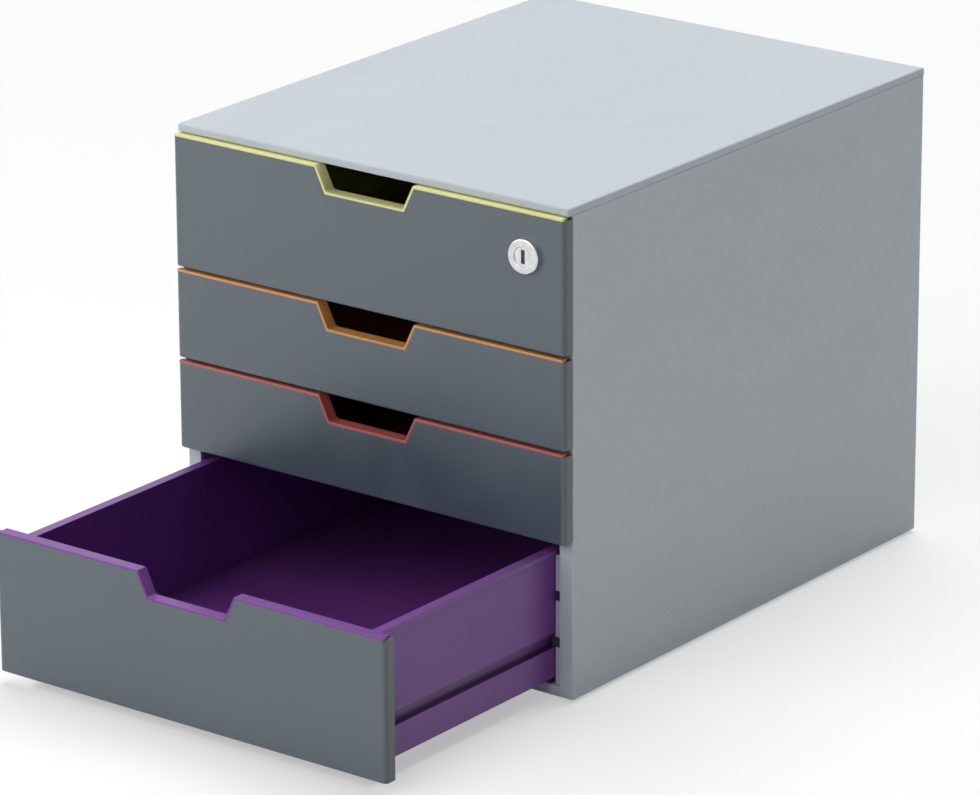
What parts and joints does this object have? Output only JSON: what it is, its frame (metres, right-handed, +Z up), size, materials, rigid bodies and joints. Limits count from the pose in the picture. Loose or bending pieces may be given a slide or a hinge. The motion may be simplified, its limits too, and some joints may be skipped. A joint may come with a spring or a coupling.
{
  "type": "desktop file drawer",
  "caption": "Desk cabinet for papers with stacked sliding drawers: coloured trays behind dark fronts with finger notches, slotted runner panels and a cam lock on the top drawer.",
  "frame": {"origin": "bottom centre of the whole object's bounding box at rest, with the lowest drawer open, on the surface that it stands on", "axes": "+X to the right seen from the front, +Y from the drawer fronts to the back panel, +Z up"},
  "size_m": [0.28, 0.517, 0.292],
  "materials": {
    "casing": "fine grained light grey plastic",
    "guide_plastic": "smooth near-black plastic",
    "foot_rubber": "dull dark rubber",
    "front_anthracite": "fine grained dark grey plastic",
    "tray_yellow": "pale yellow plastic",
    "tray_orange": "orange plastic",
    "tray_red": "dull red plastic",
    "tray_purple": "dull purple plastic",
    "glide_plastic": "smooth slippery off-white plastic",
    "lock_chrome": "plated, lightly polished",
    "lock_steel": "zinc-plated steel"
  },
  "bodies": {
    "cabinet": {"top_panel": "casing", "base_panel": "casing", "back_panel": "casing", "left_side_panel": "casing", "right_side_panel": "casing", "left_runner_panel": "casing", "right_runner_panel": "casing", "left_front_guides": "guide_plastic", "right_front_guides": "guide_plastic", "foot_front_left": "foot_rubber", "foot_front_right": "foot_rubber", "foot_rear_left": "foot_rubber", "foot_rear_right": "foot_rubber", "lock_strike": "lock_steel", "strike_screws": "lock_steel"},
    "drawer_1": {"drawer_1_front": "front_anthracite", "drawer_1_tray": "tray_yellow", "drawer_1_glides": "glide_plastic", "lock_housing": "lock_chrome", "lock_nut": "lock_steel"},
    "drawer_2": {"drawer_2_front": "front_anthracite", "drawer_2_tray": "tray_orange", "drawer_2_glides": "glide_plastic"},
    "drawer_3": {"drawer_3_front": "front_anthracite", "drawer_3_tray": "tray_red", "drawer_3_glides": "glide_plastic"},
    "drawer_4": {"drawer_4_front": "front_anthracite", "drawer_4_tray": "tray_purple", "drawer_4_glides": "glide_plastic"},
    "lock_core": {"lock_plug": "lock_chrome", "lock_cam": "lock_steel", "cam_screw": "lock_steel"}
  },
  "joints": [
    {"name": "drawer_1_slide", "type": "slide", "parent": "cabinet", "child": "drawer_1", "axis": [0, -1, 0], "range_m": [0, 0.21]},
    {"name": "drawer_2_slide", "type": "slide", "parent": "cabinet", "child": "drawer_2", "axis": [0, -1, 0], "range_m": [0, 0.21]},
    {"name": "drawer_3_slide", "type": "slide", "parent": "cabinet", "child": "drawer_3", "axis": [0, -1, 0], "range_m": [0, 0.21]},
    {"name": "drawer_4_slide", "type": "slide", "parent": "cabinet", "child": "drawer_4", "axis": [0, -1, 0], "range_m": [-0.161, 0.049]},
    {"name": "lock_turn", "type": "hinge", "parent": "drawer_1", "child": "lock_core", "pos_m": [0.1135, -0.0975, 0.2614], "axis": [0, 1, 0], "range_deg": [0, 90]}
  ]
}
